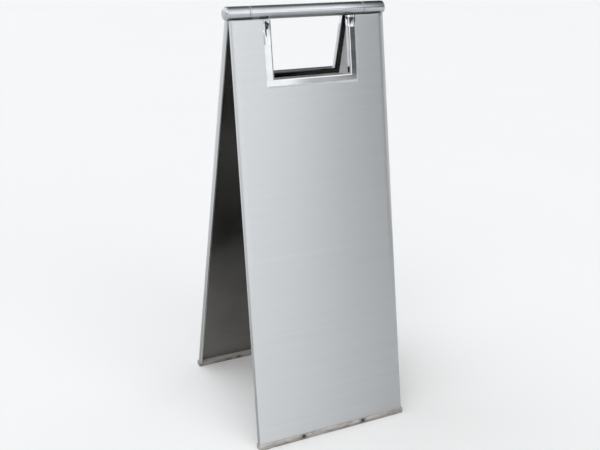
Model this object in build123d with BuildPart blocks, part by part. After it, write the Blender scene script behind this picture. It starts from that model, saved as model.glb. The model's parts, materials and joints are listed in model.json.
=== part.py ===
"""Folding A-frame floor sign of stainless sheet, hung from a round tube that is hinge and handle in one.

Millimetres and degrees. X runs along the tube, Y from the front leaf to the back leaf, Z is up.
The origin is on the floor, under the middle of the tube, with the sign open.
"""

import os
from math import cos, radians, sin, sqrt

from build123d import *

# Whole sign
axis_height = 624.0
half_angle = 11.4
foot_width = 250.0
side_draw = 4.5
fold_gap = 0.8

# Sheet panels
sheet = 1.0
tray_depth = 8.5
bend_radius = 2.5
lip_width = 4.5
tube_clearance = 0.4

# Ears, the hand windows between them and the edge strips round the windows
ear_width = 60.0
window_drop = 92.0
strip_sheet = 1.0
strip_face = 12.5
strip_return = 8.5
strip_lap = 8.9
strip_bend = 2.6
strip_bevel = 2.2
strip_bevel_drop = 0.7
strip_crown = 4.0

# Foot rails
rail_wall = 0.8
rail_height = 9.0
rail_inner_height = 6.0
rail_bulge = 1.3
rail_overhang = 0.6
rail_edge = 0.3

# Rivets that hold the rails to the panels, sunk in dimples
rivet_share = 0.208
rivet_rise = 2.6
rivet_shank = 2.8
rivet_head = 5.0
rivet_head_height = 1.2
rivet_crown = 1.0
rivet_tail = 4.0
rivet_tail_height = 1.0
rivet_dimple = 5.6
rivet_access = 4.6

# Top tube
tube_diameter = 19.0
tube_wall = 1.2
tube_edge = 0.4
tube_overhang = 0.65
knuckle_share = 0.519
seat_clearance = 0.02

# Hinge inside the tube
axle_diameter = 10.0
running_clearance = 0.05
end_play = 0.3
bush_flange = 2.0
bush_length = 20.0
bush_edge = 0.3
collar_setback = 1.0
collar_gap = 2.0
axle_chamfer = 1.0

# End caps of the tube
cap_head = 5.5
cap_edge = 5.0
cap_plug = 8.0
cap_plug_wall = 1.5

# Opening stop
stop_pin_diameter = 4.0
stop_pin_end = 0.5
stop_ring_wall = 0.8
stop_ring_length = 10.0
stop_ring_floor = 3.5
stop_ring_gap = 2.0
stop_clearance = 0.3

# Weld beads under the tube
weld_angle = 30.0
weld_toe = 1.1
weld_inset = 2.0

# Worked out from the values above
lean = radians(half_angle)
head_width = foot_width - 2 * side_draw
tube_radius = tube_diameter / 2
bore_radius = tube_radius - tube_wall
axle_radius = axle_diameter / 2
lip_level = fold_gap / 2 + rail_wall
face_level = lip_level + tray_depth
tube_keepout = tube_radius + tube_clearance
bend_level = lip_level + bend_radius
ear_top = bend_radius - sqrt((tube_keepout + bend_radius) ** 2 - bend_level**2)
strip_top = -sqrt(tube_keepout**2 - lip_level**2)
window_width = head_width - 2 * ear_width
cut_margin = strip_face - strip_lap
cut_width = window_width + 2 * cut_margin
cut_sill = -(window_drop + cut_margin)
lip_cut_width = window_width + 2 * (strip_return + seat_clearance)
tube_end = head_width / 2 + tube_overhang
knuckle_length = ear_width * knuckle_share
knuckle_start = tube_end - knuckle_length
centre_half = knuckle_start - end_play - bush_flange
collar_start = knuckle_start + collar_setback
collar_length = knuckle_length - collar_setback - collar_gap - cap_plug
slot_reach = bore_radius - seat_clearance - stop_ring_wall
stop_pin_reach = sqrt((slot_reach - stop_clearance) ** 2 - (stop_pin_diameter / 2) ** 2)
stop_ring_start = -centre_half + bush_length + stop_ring_gap
stop_pin_place = stop_ring_start + (stop_ring_length - stop_ring_floor) / 2
hinge_axis = Axis((0, 0, axis_height), (1, 0, 0))
hinge_section = Plane(origin=(0, 0, axis_height), x_dir=(0, 1, 0), z_dir=(1, 0, 0))

FRONT = 1
BACK = -1
RIGHT = 1
LEFT = -1
LEAF_NAMES = {FRONT: "front", BACK: "back"}
SIDE_NAMES = {LEFT: "left", RIGHT: "right"}


def floor_level(level):
    """Height up the leaf, from the hinge axis, at which the floor crosses the given level of the leaf."""
    return -(axis_height + level * sin(lean)) / cos(lean)


def half_width(height):
    """Half the width of a panel at a height on its leaf: the sides draw in towards the tube."""
    return (head_width + (foot_width - head_width) * height / floor_level(0)) / 2


rail_top = floor_level(face_level) + rail_height
rail_pocket = floor_level(lip_level - rail_wall) + rail_wall
rail_outside = face_level + rail_wall
rail_middle = (rail_top + floor_level(rail_outside)) / 2
panel_bottom = rail_pocket
sheet_back = face_level - sheet
rivet_seat = rail_outside + rail_bulge - rivet_head_height
rivet_places = [(side * foot_width * rivet_share, rail_pocket + rivet_rise) for side in (LEFT, RIGHT)]


def leaf_plane(leaf):
    """Plane of one leaf: origin on the hinge axis, x across, y up the leaf, z out of its face."""
    return Plane(
        origin=(0, 0, axis_height),
        x_dir=(leaf, 0, 0),
        z_dir=(0, -leaf * cos(lean), sin(lean)),
    )


def leaf_section(leaf):
    """Cross-section plane of one leaf at the middle of the sign: x out of its face, y up the leaf."""
    plane = leaf_plane(leaf)
    return Plane(origin=plane.origin, x_dir=plane.z_dir, z_dir=-plane.x_dir)


def panel_outline(plane, top, margin):
    """Outline of a panel from a height down to its bottom edge, set in from both sides by a margin."""
    with BuildSketch(plane) as outline:
        Polygon(
            (margin - half_width(top), top),
            (margin - half_width(panel_bottom), panel_bottom),
            (half_width(panel_bottom) - margin, panel_bottom),
            (half_width(top) - margin, top),
            align=None,
        )
    return outline.sketch


def save(piece, name):
    """Name a finished piece and write it."""
    piece.part.label = name
    export_step(piece.part, f"parts/{name}.step")


def bent_block(plane, margin):
    """Solid block of a panel's outline, set in by a margin, with its long edges rounded as bends."""
    up = Axis(plane.origin, plane.y_dir)
    outline = panel_outline(plane.offset(lip_level + margin), ear_top - margin, margin)
    with BuildPart() as block:
        extrude(outline, amount=tray_depth - 2 * margin)
        walls = block.faces().sort_by(Axis.X)
        bends = walls[0].edges().sort_by(SortBy.LENGTH)[-2:] + walls[-1].edges().sort_by(SortBy.LENGTH)[-2:]
        bends += block.faces().sort_by(up)[-1].edges().filter_by(Axis.X)
        fillet(bends, bend_radius - margin)
    return block.part


def make_panel(leaf):
    """Sheet tray with two ears beside the hand window, side flanges and return lips."""
    plane = leaf_plane(leaf)
    skin = bent_block(plane, 0)
    cavity = bent_block(plane, sheet)
    with BuildPart() as panel:
        add(skin)
        add(cavity, mode=Mode.SUBTRACT)
        with BuildSketch(plane.offset(lip_level)):
            with Locations((0, ear_top)):
                Rectangle(cut_width, ear_top - cut_sill, align=(Align.CENTER, Align.MAX))
        extrude(amount=tray_depth, mode=Mode.SUBTRACT)
        between_lips = panel_outline(plane.offset(lip_level), ear_top - lip_width, lip_width)
        extrude(between_lips, amount=sheet, mode=Mode.SUBTRACT)
        with BuildSketch(plane.offset(lip_level)):
            with Locations((0, ear_top)):
                Rectangle(lip_cut_width, lip_width, align=(Align.CENTER, Align.MAX))
        extrude(amount=sheet, mode=Mode.SUBTRACT)
        with BuildSketch(plane.offset(sheet_back)):
            with Locations(rivet_places):
                Circle(rivet_shank / 2 + seat_clearance)
        extrude(amount=sheet, mode=Mode.SUBTRACT)
    save(panel, f"{LEAF_NAMES[leaf]}_panel")


def strip_section(plane):
    """Section of the edge strip on a plane: x into the panel from the window's edge, y out of the face."""
    outer = face_level + strip_sheet
    crown = (strip_face - strip_bevel, outer)
    with BuildSketch(plane) as section:
        with BuildLine():
            FilletPolyline(
                (strip_face, outer),
                (0, outer),
                (0, lip_level),
                (strip_return, lip_level),
                radius=strip_bend,
            )
            offset(amount=strip_sheet, side=Side.LEFT)
        make_face()
        bevel_foot = (strip_face, outer - strip_bevel_drop)
        Polygon(crown, bevel_foot, (strip_face, outer), align=None, mode=Mode.SUBTRACT)
        fillet(section.vertices().sort_by_distance(crown)[0], strip_crown)
    return section.sketch


def mitre_plane(plane, side):
    """Plane of the mitre at one lower corner of the window, facing up and away from the sill."""
    corner = plane.from_local_coords(Vector(side * window_width / 2, -window_drop, 0))
    return Plane(origin=corner, x_dir=plane.z_dir, z_dir=side * plane.x_dir + plane.y_dir)


def make_side_strip(leaf, side):
    """Upright edge strip of a hand window, mitred at its foot."""
    plane = leaf_plane(leaf)
    local_side = leaf * side
    into_panel = local_side * plane.x_dir
    top = plane.from_local_coords(Vector(local_side * window_width / 2, strip_top, 0))
    section = strip_section(Plane(origin=top, x_dir=into_panel, z_dir=into_panel.cross(plane.z_dir)))
    with BuildPart() as strip:
        extrude(section, amount=strip_top + window_drop + strip_face, dir=-plane.y_dir)
        split(bisect_by=mitre_plane(plane, local_side), keep=Keep.TOP)
    save(strip, f"{LEAF_NAMES[leaf]}_window_strip_{SIDE_NAMES[side]}")


def make_sill_strip(leaf):
    """Edge strip under a hand window, mitred at both ends."""
    plane = leaf_plane(leaf)
    middle = plane.from_local_coords(Vector(0, -window_drop, 0))
    section = strip_section(Plane(origin=middle, x_dir=-plane.y_dir, z_dir=-plane.x_dir))
    with BuildPart() as strip:
        extrude(section, amount=window_width / 2 + strip_face, both=True)
        split(bisect_by=mitre_plane(plane, RIGHT), keep=Keep.BOTTOM)
        split(bisect_by=mitre_plane(plane, LEFT), keep=Keep.BOTTOM)
    save(strip, f"{LEAF_NAMES[leaf]}_window_sill")


def make_foot_rail(leaf):
    """Shoe on the bottom edge of a panel: rounded outside, a ledge in the tray, a sole flat on the floor."""
    plane = leaf_plane(leaf)
    inside = lip_level - rail_wall
    pocket_half = half_width(panel_bottom) + seat_clearance
    ledge_half = half_width(rail_pocket + rail_inner_height) - lip_width - seat_clearance
    ledge_depth = sheet_back - seat_clearance - lip_level
    with BuildPart() as rail:
        with BuildSketch(leaf_section(leaf)) as section:
            with BuildLine():
                ThreePointArc(
                    (rail_outside, floor_level(rail_outside)),
                    (rail_outside + rail_bulge, rail_middle),
                    (rail_outside, rail_top),
                )
                Polyline(
                    (rail_outside, rail_top),
                    (inside, rail_pocket + rail_inner_height),
                    (inside, floor_level(inside)),
                    (rail_outside, floor_level(rail_outside)),
                )
            make_face()
            fillet(section.vertices(), rail_edge)
        extrude(amount=half_width(panel_bottom) + rail_overhang, both=True)
        ends = rail.faces().sort_by(Axis.X)
        fillet(ends[0].edges() + ends[-1].edges(), rail_edge)
        with BuildSketch(leaf_section(leaf)):
            with Locations((lip_level, rail_pocket)):
                Rectangle(tray_depth, rail_height + rail_inner_height, align=(Align.MIN, Align.MIN))
        extrude(amount=pocket_half, both=True, mode=Mode.SUBTRACT)
        with BuildSketch(leaf_section(leaf)):
            with Locations((lip_level, rail_pocket)):
                Rectangle(ledge_depth, rail_inner_height, align=(Align.MIN, Align.MIN))
        extrude(amount=ledge_half, both=True)
        with BuildSketch(plane.offset(rivet_seat)):
            with Locations(rivet_places):
                Circle(rivet_dimple / 2)
        extrude(amount=rivet_head_height, mode=Mode.SUBTRACT)
        with BuildSketch(plane.offset(face_level)):
            with Locations(rivet_places):
                Circle(rivet_shank / 2 + seat_clearance)
        extrude(amount=rivet_seat - face_level, mode=Mode.SUBTRACT)
        with BuildSketch(plane.offset(inside)):
            with Locations(rivet_places):
                Circle(rivet_access / 2)
        extrude(amount=sheet_back - inside, mode=Mode.SUBTRACT)
    save(rail, f"{LEAF_NAMES[leaf]}_foot_rail")


def make_rail_rivets(leaf):
    """Pair of rivets through a rail and its panel, with domed heads outside and tails inside."""
    plane = leaf_plane(leaf)
    with BuildPart() as rivets:
        with BuildSketch(plane.offset(rivet_seat)):
            with Locations(rivet_places):
                Circle(rivet_head / 2)
        extrude(amount=rivet_head_height)
        tops = rivets.faces().sort_by(Axis(plane.origin, plane.z_dir))[-len(rivet_places) :]
        fillet(tops.edges(), rivet_crown)
        with BuildSketch(plane.offset(sheet_back)):
            with Locations(rivet_places):
                Circle(rivet_shank / 2)
        extrude(amount=rivet_seat - sheet_back)
        with BuildSketch(plane.offset(sheet_back)):
            with Locations(rivet_places):
                Circle(rivet_tail / 2)
        extrude(amount=-rivet_tail_height)
    save(rivets, f"{LEAF_NAMES[leaf]}_rail_rivets")


def make_tube_length(name, start, end):
    """One length of the top tube."""
    with BuildPart() as tube:
        with BuildSketch(hinge_section.offset(start)):
            Circle(tube_radius)
            Circle(bore_radius, mode=Mode.SUBTRACT)
        extrude(amount=end - start)
        outside = tube.faces().sort_by(SortBy.AREA)[-1]
        fillet(outside.edges().filter_by(GeomType.CIRCLE), tube_edge)
    save(tube, name)


def make_end_cap(side):
    """Plug that closes one end of the tube, with a rounded head and a hollow spigot."""
    spigot_radius = bore_radius - seat_clearance
    with BuildPart() as cap:
        with BuildSketch(hinge_section.offset(side * tube_end)):
            Circle(tube_radius)
        extrude(amount=side * cap_head)
        rim = cap.faces().sort_by(hinge_axis)[-1 if side == RIGHT else 0].edges()
        fillet(rim, cap_edge)
        with BuildSketch(hinge_section.offset(side * tube_end)):
            Circle(spigot_radius)
            Circle(spigot_radius - cap_plug_wall, mode=Mode.SUBTRACT)
        extrude(amount=-side * cap_plug)
    save(cap, f"{SIDE_NAMES[side]}_end_cap")


def make_bush(side):
    """Flanged plain bearing pressed into one end of the centre tube."""
    with BuildPart() as bush:
        with BuildSketch(hinge_section.offset(side * centre_half)):
            Circle(tube_radius)
        extrude(amount=side * bush_flange)
        fillet(bush.edges(), bush_edge)
        with BuildSketch(hinge_section.offset(side * centre_half)):
            Circle(bore_radius - seat_clearance)
        extrude(amount=-side * bush_length)
        with BuildSketch(hinge_section.offset(side * (centre_half + bush_flange))):
            Circle(axle_radius + running_clearance)
        extrude(amount=-side * (bush_length + bush_flange), mode=Mode.SUBTRACT)
    save(bush, f"{SIDE_NAMES[side]}_hinge_bush")


def make_collar(side):
    """Thick ring that holds the axle in the middle of an end knuckle."""
    with BuildPart() as collar:
        with BuildSketch(hinge_section.offset(side * collar_start)):
            Circle(bore_radius - seat_clearance)
            Circle(axle_radius + seat_clearance, mode=Mode.SUBTRACT)
        extrude(amount=side * collar_length)
    save(collar, f"{SIDE_NAMES[side]}_axle_collar")


def make_axle():
    """Round bar through the three lengths of tube, cross-drilled for the stop pin."""
    half_length = collar_start + collar_length
    with BuildPart() as axle:
        with BuildSketch(hinge_section.offset(-half_length)):
            Circle(axle_radius)
        extrude(amount=2 * half_length)
        chamfer(axle.edges().filter_by(GeomType.CIRCLE), axle_chamfer)
        with BuildSketch(Plane.XY.offset(axis_height)):
            with Locations((stop_pin_place, 0)):
                Circle(stop_pin_diameter / 2 + seat_clearance)
        extrude(amount=axle_diameter, both=True, mode=Mode.SUBTRACT)
    save(axle, "hinge_axle")


def make_stop_pin():
    """Dowel across the axle, upright with the sign open."""
    with BuildPart() as pin:
        with BuildSketch(Plane.XY.offset(axis_height - stop_pin_reach)):
            with Locations((stop_pin_place, 0)):
                Circle(stop_pin_diameter / 2)
        extrude(amount=2 * stop_pin_reach)
        chamfer(pin.edges().filter_by(GeomType.CIRCLE), stop_pin_end)
    save(pin, "stop_pin")


def make_stop_ring():
    """Ring fixed in the centre tube, with a slot that lets the stop pin turn from open to folded."""
    slot_width = stop_pin_diameter + 2 * stop_clearance
    fold_angle = 2 * half_angle
    spread = slot_reach / cos(radians(fold_angle) / 2)
    with BuildPart() as ring:
        with BuildSketch(hinge_section.offset(stop_ring_start)):
            Circle(bore_radius - seat_clearance)
        extrude(amount=stop_ring_length)
        with BuildSketch(hinge_section.offset(stop_ring_start)):
            Circle(axle_radius + end_play)
        extrude(amount=stop_ring_length, mode=Mode.SUBTRACT)
        with BuildSketch(hinge_section.offset(stop_ring_start)):
            Rectangle(slot_width, 2 * slot_reach)
            Rectangle(slot_width, 2 * slot_reach, rotation=-fold_angle)
            with Locations(Rot(0, 0, 90 - fold_angle / 2), Rot(0, 0, -90 - fold_angle / 2)):
                Triangle(
                    a=2 * spread * sin(radians(fold_angle) / 2),
                    b=spread,
                    c=spread,
                    rotation=90,
                    align=(Align.CENTER, Align.MAX),
                )
            Circle(slot_reach, mode=Mode.INTERSECT)
        extrude(amount=stop_ring_length - stop_ring_floor, mode=Mode.SUBTRACT)
    save(ring, "stop_ring")


def make_welds(leaf, start, end):
    """Pair of weld beads that join the ears of a leaf to its lengths of tube, one at each side."""
    section = leaf_section(leaf)
    top_toe = (tube_radius * sin(radians(weld_angle)), -tube_radius * cos(radians(weld_angle)))
    with BuildPart() as welds:
        for side in (LEFT, RIGHT):
            with BuildSketch(section.offset(side * start)):
                with BuildLine():
                    Polyline(
                        (bend_level, 0),
                        (bend_level, ear_top),
                        (top_toe[0] + weld_toe, ear_top),
                        top_toe,
                        (bend_level, 0),
                    )
                make_face()
                Circle(tube_radius, mode=Mode.SUBTRACT)
            extrude(amount=side * (end - start))
    save(welds, f"{LEAF_NAMES[leaf]}_weld_beads")


os.makedirs("parts", exist_ok=True)

for leaf in (FRONT, BACK):
    make_panel(leaf)
    make_side_strip(leaf, LEFT)
    make_side_strip(leaf, RIGHT)
    make_sill_strip(leaf)
    make_foot_rail(leaf)
    make_rail_rivets(leaf)

make_tube_length("centre_tube", -centre_half, centre_half)
make_tube_length("left_end_knuckle", -tube_end, -knuckle_start)
make_tube_length("right_end_knuckle", knuckle_start, tube_end)
for side in (LEFT, RIGHT):
    make_end_cap(side)
    make_bush(side)
    make_collar(side)
make_axle()
make_stop_pin()
make_stop_ring()
make_welds(FRONT, window_width / 2 + strip_face + weld_inset, centre_half - weld_inset)
make_welds(BACK, knuckle_start + weld_inset, head_width / 2 - weld_inset)
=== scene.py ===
"""Looks of the folding floor sign: steel finishes, a pale studio and the photo's camera.

Metres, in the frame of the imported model: X along the top tube, Y from the front leaf to the back
leaf, Z up.
"""

import json
from math import cos, radians, sin

import bpy
from mathutils import Matrix, Vector

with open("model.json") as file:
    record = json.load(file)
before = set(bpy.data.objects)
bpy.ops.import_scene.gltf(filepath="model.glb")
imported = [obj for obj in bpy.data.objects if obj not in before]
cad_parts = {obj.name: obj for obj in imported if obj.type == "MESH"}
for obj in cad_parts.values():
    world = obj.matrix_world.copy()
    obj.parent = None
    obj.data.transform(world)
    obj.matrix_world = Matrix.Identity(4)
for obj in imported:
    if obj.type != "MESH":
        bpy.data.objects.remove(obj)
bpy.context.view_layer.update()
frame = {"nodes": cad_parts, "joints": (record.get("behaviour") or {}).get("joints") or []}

# Shape of the sign that the finishes follow
axis = Vector(frame["joints"][0]["pos_m"])
lean = radians(11.4)
front_out = Vector((0, -cos(lean), sin(lean)))
back_out = Vector((0, cos(lean), sin(lean)))

# Inside of a leaf's tray: its middle depth, and how far its bottom and its flanges look inward
tray_middle = 0.005
tray_blur = 0.0005
tray_facing = (-0.5, -0.2)
flange_facing = (-0.05, -0.03)

# Painted light: a pale matt patch inside, round the window
lit_patch_middle = 0.009
lit_patch_half = 0.0845
lit_patch_foot = 0.511
lit_patch_blur = 0.012

# Painted shade on the mirror inside, lighter with height and smudged, and dust at its foot
inside_shade_rise = (0, 0.9)
inside_shade_heights = (0.2, 0.38)
inside_shade_smudge = (-0.1, 0.1)
dust_share = 0.6
dust_foot = 0.015
dust_top = 0.09

# Soft roll at the sides of a panel, and painted shade there, which fades with height
edge_foot = 0.125
edge_draw = 0.0072
edge_roll = 0.009
edge_curve = 16.7
roll_heights = (0.2, 0.4)
side_shade_fade = (0.9, 0.15)
side_shade_heights = (0.05, 0.45)

# Brushed grain: the share of each of its two noises, and the lean of its tangent
grain_share = 0.5
grain_tilt = 0.15

# Painted shade under the tube, stronger over its middle than beside it
shade_middle_half = 0.061
shade_middle_blur = 0.006
underside_shade_shares = (0.7, 0.25)
underside_shade_facing = (-0.6, 0.15)

# Window strips: painted shade on the inner leg, and the warp at the tops of the left and the right
# strip
leg_shade_facing = (-0.7, -0.4)
warp_foot_left = 0.58
warp_foot_right = 0.6
warp_switch = 0.01
warp_top = 0.614
warp_depth = 0.008
warp_lift = 0.7
scratch_share = 0.0005

# Foot rails: stains, smudges at the rivets and dust on the ledges
stain_start = (0.55, 0.7)
rivet_place = 0.052
smudge_half = 0.004
smudge_share = 0.8
smudge_grime = (0.3, 1)
ledge_dust = 0.85
ledge_facing = (0.6, 0.85)

# Noises: where most of their values lie, then grains per metre along each axis, and detail
noise_low = 0.3
noise_high = 0.7
sheet_fine = ((9.0, 1400.0, 1400.0), 3.0)
sheet_broad = ((1.5, 160.0, 160.0), 2.0)
sheet_smudge = ((14.0, 14.0, 9.0), 4.0)
polish_smear = ((35.0, 60.0, 60.0), 4.0)
polish_hairline = ((25.0, 2500.0, 2500.0), 2.0)
strip_wave = ((90.0, 60.0, 60.0), 1.0)
rail_grime = ((45.0, 220.0, 220.0), 4.0)
rail_blot = ((22.0, 30.0, 60.0), 2.0)
rivet_rub = ((400.0, 400.0, 400.0), 3.0)
plain_turning = ((3000.0, 40.0, 40.0), 2.0)
weld_heat = ((90.0, 200.0, 200.0), 3.0)
weld_ripple = ((900.0, 300.0, 300.0), 2.0)
floor_cloud = ((2.0, 2.0, 2.0), 3.0)

# Roughness: from one end of a noise to the other, or what a zone or dust adds
sheet_rough = (0.335, 0.35)
inside_mirror_rough = (0.08, 0.13)
lit_patch_rough = 0.4
polish_rough = (0.02, 0.05)
hairline_rough = (0.0, 0.015)
rail_rough = (0.3, 0.4)
dust_rough = 0.4
rivet_rough = (0.5, 0.3)
plain_rough = (0.25, 0.4)
weld_rough = (0.3, 0.45)
floor_rough = 0.9

# Depths of the bumps
sheet_depth = 0.000005
polish_depth = 0.000004
rail_depth = 0.00002
rivet_depth = 0.00002
plain_depth = 0.00001
weld_depth = 0.00008

# Steel colours
sheet_light = (0.636, 0.652, 0.666, 1)
sheet_dark = (0.61, 0.625, 0.638, 1)
# Painted shade on the sides of a panel
side_shade_colour = (0.34, 0.335, 0.33, 1)
# Painted shade on the mirror inside of the tray, darker low and lighter high
inside_shade_low = (0.165, 0.16, 0.15, 1)
inside_shade_high = (0.37, 0.37, 0.365, 1)
# Painted light: colour of the pale patch inside round the window
lit_patch_colour = (0.9, 0.9, 0.9, 1)
polish_light = (0.61, 0.625, 0.645, 1)
polish_dark = (0.54, 0.555, 0.575, 1)
tube_light = (0.53, 0.548, 0.575, 1)
tube_dark = (0.47, 0.487, 0.512, 1)
# Painted shade under the tube
underside_shade_colour = (0.05, 0.054, 0.05, 1)
# Painted shade on the strips' inner leg
leg_shade_colour = (0.055, 0.052, 0.05, 1)
rail_light = (0.48, 0.455, 0.435, 1)
rail_dark = (0.27, 0.255, 0.245, 1)
rail_stain = (0.17, 0.15, 0.14, 1)
dust_colour = (0.5, 0.48, 0.45, 1)
rivet_light = (0.1, 0.095, 0.09, 1)
rivet_dark = (0.04, 0.038, 0.036, 1)
plain_light = (0.56, 0.56, 0.57, 1)
plain_dark = (0.46, 0.46, 0.465, 1)
weld_light = (0.36, 0.34, 0.325, 1)
weld_dark = (0.2, 0.19, 0.195, 1)

# Floor
floor_size = 400
floor_colour = (0.955, 0.95, 0.94, 1)
floor_shade = (0.935, 0.93, 0.92, 1)

# Camera of the photo
image_width = 600
camera_place = Vector((-0.5641137, -1.1227135, 0.8038482))
camera_yaw = radians(26.6621)
camera_pitch = radians(22.03586)
camera_roll = radians(1.61978)
focal_pixels = 868.6662
sensor_width = 36.0

# Key light
key_side = Vector((-0.5, -0.6, 0.62)).normalized()
key_distance = 4.0
key_energy = 0.56
key_spread = radians(40)

# Surroundings by the X of a direction, from left to right: X, level and, in the shade, its own tint
pale = 0.92
horizon_colour = (pale, pale, pale, 1)
front_tint = (1.0, 1.0, 1.0)
behind_tint = (0.97, 0.995, 1.025)
shade_tint = (0.4, 1.0, 1.08)
far_left = [(-1, pale), (-0.95, pale), (-0.8, 0.4), (-0.7, 0.4)]
dim_left = far_left + [(-0.25, 0.6)]
lamp_left = far_left + [(-0.4, 0.55), (-0.34, 1.4), (0.1, 1.5), (0.425, 1.5)]
far_right = [(0.8, 0.8), (0.95, pale), (1, pale)]
dim_right = [(0.8, 0.45), (0.87, 0.45), (0.93, pale), (1, pale)]
shade_right = [(0.53, 0.06, shade_tint), (0.7, 0.06, shade_tint)] + far_right
ground = dim_left + [(0.1, 1.7), (0.37, 1.7), (0.43, 2.6), (0.472, 2.6)] + shade_right
sill = lamp_left + [(0.44, 0.74), (0.66, 0.7)] + dim_right
wall = lamp_left + [(0.44, 0.7), (0.47, 0.7), (0.485, 0.13), (0.68, 0.13)] + dim_right
sky = dim_left + [(0.1, 1.5), (0.38, 1.5), (0.43, 1.75), (0.478, 1.75)] + shade_right
behind = [(-1, pale), (-0.95, pale), (-0.8, 1.4), (-0.1, 1.4), (0.1, 0.8), (0.32, 0.2)]
behind += [(0.45, 0.18), (0.5, 0.08), (0.65, 0.08)] + far_right

# Bands of the surroundings over the pale horizon: degrees of climb over which each one sets in
bands = [
    (1.2, 2, ground, front_tint),
    (6, 7, sill, front_tint),
    (8.2, 9.2, wall, front_tint),
    (14, 18, sky, front_tint),
    (25, 115, behind, behind_tint),
]

# Colour sockets of a mix node
mix_first = 6
mix_second = 7
mix_result = 2


def add(tree, kind, inputs=None, **settings):
    """Add a node, with its settings, and set or link its inputs."""
    made = tree.nodes.new(kind)
    for name, value in settings.items():
        setattr(made, name, value)
    for socket, value in (inputs or {}).items():
        if isinstance(value, bpy.types.NodeSocket):
            tree.links.new(value, made.inputs[socket])
        else:
            made.inputs[socket].default_value = value
    return made


def noise(tree, point, stretch, detail):
    """Noise from 0 to 1 at a point, with so many grains per metre along each axis."""
    scaled = add(tree, "ShaderNodeMapping", {"Vector": point, "Scale": stretch}).outputs[0]
    settings = {"Vector": scaled, "Scale": 1.0, "Detail": detail}
    return add(tree, "ShaderNodeTexNoise", settings).outputs["Fac"]


def ranged(tree, value, low, high, start=noise_low, end=noise_high):
    """Map a value between start and end smoothly to low and high."""
    limits = {"From Min": start, "From Max": end, "To Min": low, "To Max": high}
    made = add(
        tree,
        "ShaderNodeMapRange",
        {"Value": value, **limits},
        interpolation_type="SMOOTHSTEP",
    )
    return made.outputs["Result"]


def calc(tree, operation, *values):
    """The result of one operation on the values."""
    made = add(tree, "ShaderNodeMath", dict(enumerate(values)), operation=operation)
    return made.outputs[0]


def dot(tree, first, second):
    """How far one direction or point lies along another."""
    made = add(tree, "ShaderNodeVectorMath", {0: first, 1: second}, operation="DOT_PRODUCT")
    return made.outputs["Value"]


def split(tree, vector):
    """The X, Y and Z of a vector."""
    return add(tree, "ShaderNodeSeparateXYZ", {0: vector}).outputs


def mixed(tree, share, first, second):
    """A colour between two, by share."""
    inputs = {"Factor": share, mix_first: first, mix_second: second}
    made = add(tree, "ShaderNodeMix", inputs, data_type="RGBA")
    return made.outputs[mix_result]


def new_material(name, sockets):
    """A material with a Principled shader whose sockets hold the given values."""
    material = bpy.data.materials.new(name)
    material.use_nodes = True
    tree = material.node_tree
    shader = tree.nodes["Principled BSDF"]
    for socket, value in sockets.items():
        shader.inputs[socket].default_value = value
    return material, tree, shader


def place_of(tree):
    """The point and the normal of the surface."""
    place = add(tree, "ShaderNodeTexCoord")
    return place.outputs["Object"], place.outputs["Normal"]


def set_surface(tree, shader, colour, roughness, height, depth):
    """Link colour, roughness and a bump of the given depth to a shader."""
    bump = add(tree, "ShaderNodeBump", {"Height": height, "Distance": depth, "Strength": 1.0})
    tree.links.new(colour, shader.inputs["Base Color"])
    tree.links.new(roughness, shader.inputs["Roughness"])
    tree.links.new(bump.outputs[0], shader.inputs["Normal"])


def inside_share(tree, point, normal, out):
    """1 on the inside of a leaf's tray and 0 on its outside, whose face looks along out."""
    inward = ranged(tree, dot(tree, normal, out), 1, 0, *tray_facing)
    middle = axis.dot(out) + tray_middle
    deep = ranged(tree, dot(tree, point, out), 0, 1, middle - tray_blur, middle + tray_blur)
    bottom = calc(tree, "MULTIPLY", inward, deep)
    turned = calc(tree, "MULTIPLY", split(tree, point)[0], split(tree, normal)[0])
    flange = ranged(tree, turned, 1, 0, *flange_facing)
    return calc(tree, "MAXIMUM", bottom, flange)


def lit_patch_share(tree, across, height):
    """1 in the pale matt patch of painted light round the window and 0 beyond it."""
    aside = calc(tree, "ABSOLUTE", calc(tree, "SUBTRACT", across, lit_patch_middle))
    beside = ranged(tree, aside, 1, 0, lit_patch_half - lit_patch_blur, lit_patch_half + lit_patch_blur)
    over = ranged(tree, height, 0, 1, lit_patch_foot - lit_patch_blur, lit_patch_foot + lit_patch_blur)
    return calc(tree, "MULTIPLY", beside, over)


def side_drop(tree, across, height):
    """How far the soft roll takes the face back near the sides of a panel."""
    drawn = calc(tree, "MULTIPLY", height, edge_draw)
    reach = calc(tree, "ADD", calc(tree, "ABSOLUTE", across), drawn)
    past = calc(tree, "SUBTRACT", reach, edge_foot - edge_roll)
    beyond = calc(tree, "MAXIMUM", past, 0.0)
    square = calc(tree, "MULTIPLY", beyond, beyond)
    return calc(tree, "MULTIPLY", square, ranged(tree, height, 0, edge_curve, *roll_heights))


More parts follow.
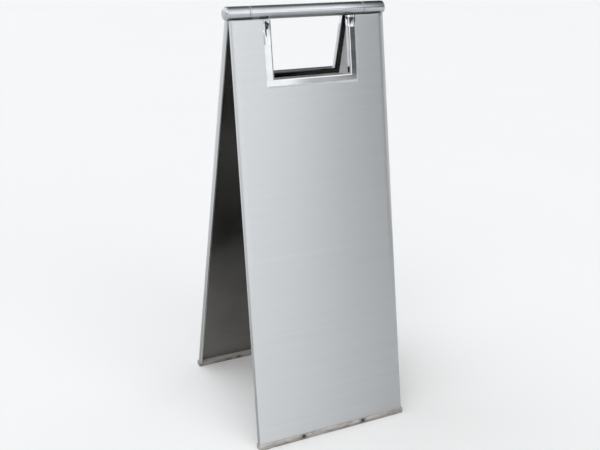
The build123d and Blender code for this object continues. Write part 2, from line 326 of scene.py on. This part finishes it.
def make_sheet(name, out):
    """Satin sheet of a panel whose face looks along out.

    Outside it has a fine grain across the panel and painted shade on its sides, darker towards the
    bottom; inside the tray a mirror finish with painted shade, darker towards the bottom, and a
    pale matt patch of painted light round the window.
    """
    material, tree, shader = new_material(name, {"Anisotropic": 1.0})
    point, normal = place_of(tree)
    across, _, height = split(tree, point)
    fine = noise(tree, point, *sheet_fine)
    broad = noise(tree, point, *sheet_broad)
    smudge = noise(tree, point, *sheet_smudge)
    shares = [calc(tree, "MULTIPLY", grains, grain_share) for grains in (fine, broad)]
    grain = calc(tree, "ADD", *shares)
    inside = inside_share(tree, point, normal, out)
    clear = lit_patch_share(tree, across, height)

    brushed = mixed(tree, ranged(tree, grain, 0, 1), sheet_dark, sheet_light)
    # Painted shade on the sideways faces, strongest low down
    sideways = ranged(tree, calc(tree, "ABSOLUTE", split(tree, normal)[0]), 0, 1)
    fade = ranged(tree, height, *side_shade_fade, *side_shade_heights)
    outer_colour = mixed(tree, calc(tree, "MULTIPLY", sideways, fade), brushed, side_shade_colour)
    # Painted shade on the mirror inside, lighter with height
    rise = ranged(tree, height, *inside_shade_rise, *inside_shade_heights)
    inside_shade_share = calc(tree, "ADD", rise, ranged(tree, smudge, *inside_shade_smudge))
    inside_shade_colour = mixed(tree, inside_shade_share, inside_shade_low, inside_shade_high)
    # Painted light: the pale matt patch round the window
    inner_colour = mixed(tree, clear, inside_shade_colour, lit_patch_colour)
    colour = mixed(tree, inside, outer_colour, inner_colour)

    outer_rough = ranged(tree, grain, *sheet_rough)
    matted = calc(tree, "MULTIPLY", clear, lit_patch_rough)
    inner_rough = calc(tree, "ADD", ranged(tree, smudge, *inside_mirror_rough), matted)
    more = calc(tree, "MULTIPLY", inside, calc(tree, "SUBTRACT", inner_rough, outer_rough))
    roughness = calc(tree, "ADD", outer_rough, more)

    dust = ranged(tree, height, dust_share, 0, dust_foot, dust_top)
    matt = calc(tree, "MULTIPLY", inside, calc(tree, "MAXIMUM", clear, dust))
    tree.links.new(calc(tree, "SUBTRACT", 1.0, matt), shader.inputs["Metallic"])
    upright = add(tree, "ShaderNodeCombineXYZ", {0: grain_tilt, 1: 0.0, 2: 1.0})
    tree.links.new(upright.outputs[0], shader.inputs["Tangent"])
    scored = calc(tree, "MULTIPLY", fine, sheet_depth)
    relief = calc(tree, "SUBTRACT", scored, side_drop(tree, across, height))
    set_surface(tree, shader, colour, roughness, relief, 1.0)
    return material


def polished(tree, point, dark, light):
    """Colour, roughness and height of a mirror polish with faint smears and hairline scratches."""
    smear = noise(tree, point, *polish_smear)
    hairline = noise(tree, point, *polish_hairline)
    colour = mixed(tree, ranged(tree, smear, 0, 1), dark, light)
    scratched = ranged(tree, hairline, *hairline_rough)
    roughness = calc(tree, "ADD", ranged(tree, smear, *polish_rough), scratched)
    return colour, roughness, hairline


def make_polish():
    """Mirror polish of the top tube and its caps, with painted shade underneath, stronger over the
    middle.
    """
    material, tree, shader = new_material("polish", {"Metallic": 1.0})
    point, normal = place_of(tree)
    colour, roughness, hairline = polished(tree, point, tube_dark, tube_light)
    aside = calc(tree, "ABSOLUTE", split(tree, point)[0])
    # Painted shade: the underside of the tube drawn dark, more over its middle
    middle_share = ranged(tree, aside, *underside_shade_shares, shade_middle_half - shade_middle_blur, shade_middle_half + shade_middle_blur)
    under = ranged(tree, split(tree, normal)[2], 1, 0, *underside_shade_facing)
    underside_shaded = mixed(tree, calc(tree, "MULTIPLY", middle_share, under), colour, underside_shade_colour)
    set_surface(tree, shader, underside_shaded, roughness, hairline, polish_depth)
    return material


def make_edging(name, out):
    """Mirror polish of a leaf's window strips, warped at their tops, with painted shade on the leg
    inside.
    """
    material, tree, shader = new_material(name, {"Metallic": 1.0})
    point, normal = place_of(tree)
    inward = ranged(tree, dot(tree, normal, out), 1, 0, *leg_shade_facing)
    colour, roughness, hairline = polished(tree, point, polish_dark, polish_light)
    across, _, height = split(tree, point)
    foot = ranged(tree, across, warp_foot_left, warp_foot_right, -warp_switch, warp_switch)
    reach = {"Value": height, "From Min": foot, "From Max": warp_top}
    rise = add(tree, "ShaderNodeMapRange", reach).outputs[0]
    wave = calc(tree, "ADD", noise(tree, point, *strip_wave), warp_lift)
    bent = calc(tree, "MULTIPLY", calc(tree, "MULTIPLY", rise, rise), wave)
    scratched = calc(tree, "MULTIPLY", hairline, scratch_share)
    relief = calc(tree, "SUBTRACT", scratched, bent)
    # Painted shade: the leg inside drawn dark
    leg_shaded = mixed(tree, inward, colour, leg_shade_colour)
    set_surface(tree, shader, leg_shaded, roughness, relief, warp_depth)
    return material


def make_rail():
    """Worn polish of the foot rails: grime, stains, smudges at the rivets, dust on the ledges."""
    material, tree, shader = new_material("rail", {})
    point, normal = place_of(tree)
    grime = noise(tree, point, *rail_grime)
    blot = noise(tree, point, *rail_blot)
    worn = mixed(tree, ranged(tree, grime, 0, 1), rail_dark, rail_light)
    stained = mixed(tree, ranged(tree, blot, 0, 1, *stain_start), worn, rail_stain)
    aside = calc(tree, "SUBTRACT", calc(tree, "ABSOLUTE", split(tree, point)[0]), rivet_place)
    distance = calc(tree, "ABSOLUTE", aside)
    near = ranged(tree, distance, smudge_share, 0, smudge_half, 2 * smudge_half)
    smudge = calc(tree, "MULTIPLY", near, ranged(tree, grime, *smudge_grime))
    smudged = mixed(tree, smudge, stained, rail_stain)
    dust = ranged(tree, split(tree, normal)[2], 0, ledge_dust, *ledge_facing)
    colour = mixed(tree, dust, smudged, dust_colour)
    tree.links.new(calc(tree, "SUBTRACT", 1.0, dust), shader.inputs["Metallic"])
    dusted = calc(tree, "MULTIPLY", dust, dust_rough)
    roughness = calc(tree, "ADD", ranged(tree, grime, *rail_rough), dusted)
    set_surface(tree, shader, colour, roughness, grime, rail_depth)
    return material


def make_steel(name, grains, colours, rough, depth, relief=None):
    """Bare steel whose colour and roughness follow one noise, and its bump that or another one."""
    material, tree, shader = new_material(name, {"Metallic": 1.0})
    point, _ = place_of(tree)
    patch = noise(tree, point, *grains)
    height = noise(tree, point, *relief) if relief else patch
    colour = mixed(tree, ranged(tree, patch, 0, 1), *colours)
    set_surface(tree, shader, colour, ranged(tree, patch, *rough), height, depth)
    return material


def make_rivet_steel():
    """Blackened steel of the rail's rivets, rubbed a little brighter in places."""
    colours = (rivet_dark, rivet_light)
    return make_steel("rivet", rivet_rub, colours, rivet_rough, rivet_depth)


def make_plain_steel():
    """Turned steel of the hidden hinge pieces."""
    colours = (plain_dark, plain_light)
    return make_steel("turned", plain_turning, colours, plain_rough, plain_depth)


def make_weld_metal():
    """Ground weld, darkened in patches by the heat and finely rippled."""
    colours = (weld_dark, weld_light)
    return make_steel("weld", weld_heat, colours, weld_rough, weld_depth, weld_ripple)


def dress(material, *names):
    """Give CAD nodes a material."""
    for name in names:
        mesh = frame["nodes"][name].data
        mesh.materials.clear()
        mesh.materials.append(material)


def dress_sign():
    """Finish every node of the sign."""
    rail = make_rail()
    rivet = make_rivet_steel()
    for leaf, out in (("front", front_out), ("back", back_out)):
        dress(make_sheet(f"{leaf}_sheet", out), f"{leaf}_panel")
        edging = make_edging(f"{leaf}_edging", out)
        dress(edging, f"{leaf}_window_strip_left", f"{leaf}_window_strip_right")
        dress(edging, f"{leaf}_window_sill")
        dress(rail, f"{leaf}_foot_rail")
        dress(rivet, f"{leaf}_rail_rivets")
    polish = make_polish()
    plain = make_plain_steel()
    dress(polish, "centre_tube")
    for side in ("left", "right"):
        dress(polish, f"{side}_end_knuckle", f"{side}_end_cap", f"{side}_hinge_bush")
        dress(plain, f"{side}_axle_collar")
    dress(plain, "hinge_axle", "stop_pin", "stop_ring")
    dress(make_weld_metal(), "front_weld_beads", "back_weld_beads")


def make_floor():
    """Pale floor that fills the view."""
    bpy.ops.mesh.primitive_plane_add(size=floor_size)
    floor = bpy.context.object
    floor.name = "floor"
    material, tree, shader = new_material("floor", {"Roughness": floor_rough})
    point, _ = place_of(tree)
    cloud = noise(tree, point, *floor_cloud)
    colour = mixed(tree, cloud, floor_shade, floor_colour)
    tree.links.new(colour, shader.inputs["Base Color"])
    floor.data.materials.append(material)


def ramped(tree, value, stops, tint):
    """A level that follows the stops along a value from -1 to 1, in the tint or a stop's own."""
    share = calc(tree, "ADD", calc(tree, "MULTIPLY", value, 0.5), 0.5)
    made = add(tree, "ShaderNodeValToRGB", {0: share})
    elements = made.color_ramp.elements
    elements.remove(elements[0])
    elements[0].position = 0.0
    for stop in stops[1:]:
        elements.new(0.5 + stop[0] / 2)
    for element, (_, level, *own) in zip(elements, stops):
        red, green, blue = own[0] if own else tint
        element.color = (level * red, level * green, level * blue, 1)
    return made.outputs[0]


def make_world():
    """Soft surroundings: bands from a pale horizon up to a sky that is brightest ahead."""
    world = bpy.data.worlds.new("studio")
    bpy.context.scene.world = world
    world.use_nodes = True
    tree = world.node_tree
    direction = add(tree, "ShaderNodeTexCoord").outputs["Generated"]
    across, depth, height = split(tree, direction)
    ahead = calc(tree, "MULTIPLY", depth, -1.0)
    climb = calc(tree, "ARCTAN2", height, ahead)
    level = horizon_colour
    for start, end, stops, tint in bands:
        share = ranged(tree, climb, 0, 1, radians(start), radians(end))
        level = mixed(tree, share, level, ramped(tree, across, stops, tint))
    shader = tree.nodes["Background"]
    tree.links.new(level, shader.inputs["Color"])
    shader.inputs["Strength"].default_value = 1.0


def make_key():
    """Wide soft light from the front left, above the camera."""
    data = bpy.data.lights.new("key", "SUN")
    data.energy = key_energy
    data.angle = key_spread
    key = bpy.data.objects.new("key", data)
    bpy.context.scene.collection.objects.link(key)
    key.location = key_side * key_distance
    key.rotation_euler = key_side.to_track_quat("Z", "Y").to_euler()


def make_camera():
    """The photo's camera, from its fitted place, turn and focal length."""
    level_ahead = Vector((sin(camera_yaw), cos(camera_yaw), 0))
    ahead = level_ahead * cos(camera_pitch) - Vector((0, 0, sin(camera_pitch)))
    level_right = Vector((cos(camera_yaw), -sin(camera_yaw), 0))
    level_up = level_right.cross(ahead)
    right = level_right * cos(camera_roll) + level_up * sin(camera_roll)
    up = level_up * cos(camera_roll) - level_right * sin(camera_roll)
    data = bpy.data.cameras.new("camera")
    data.sensor_fit = "HORIZONTAL"
    data.sensor_width = sensor_width
    data.lens = focal_pixels * sensor_width / image_width
    camera = bpy.data.objects.new("camera", data)
    bpy.context.scene.collection.objects.link(camera)
    turn = Matrix((right, up, -ahead)).transposed().to_4x4()
    camera.matrix_world = Matrix.Translation(camera_place) @ turn
    bpy.context.scene.camera = camera


dress_sign()
make_floor()
make_world()
make_key()
make_camera()
bpy.context.scene.view_settings.view_transform = "Standard"
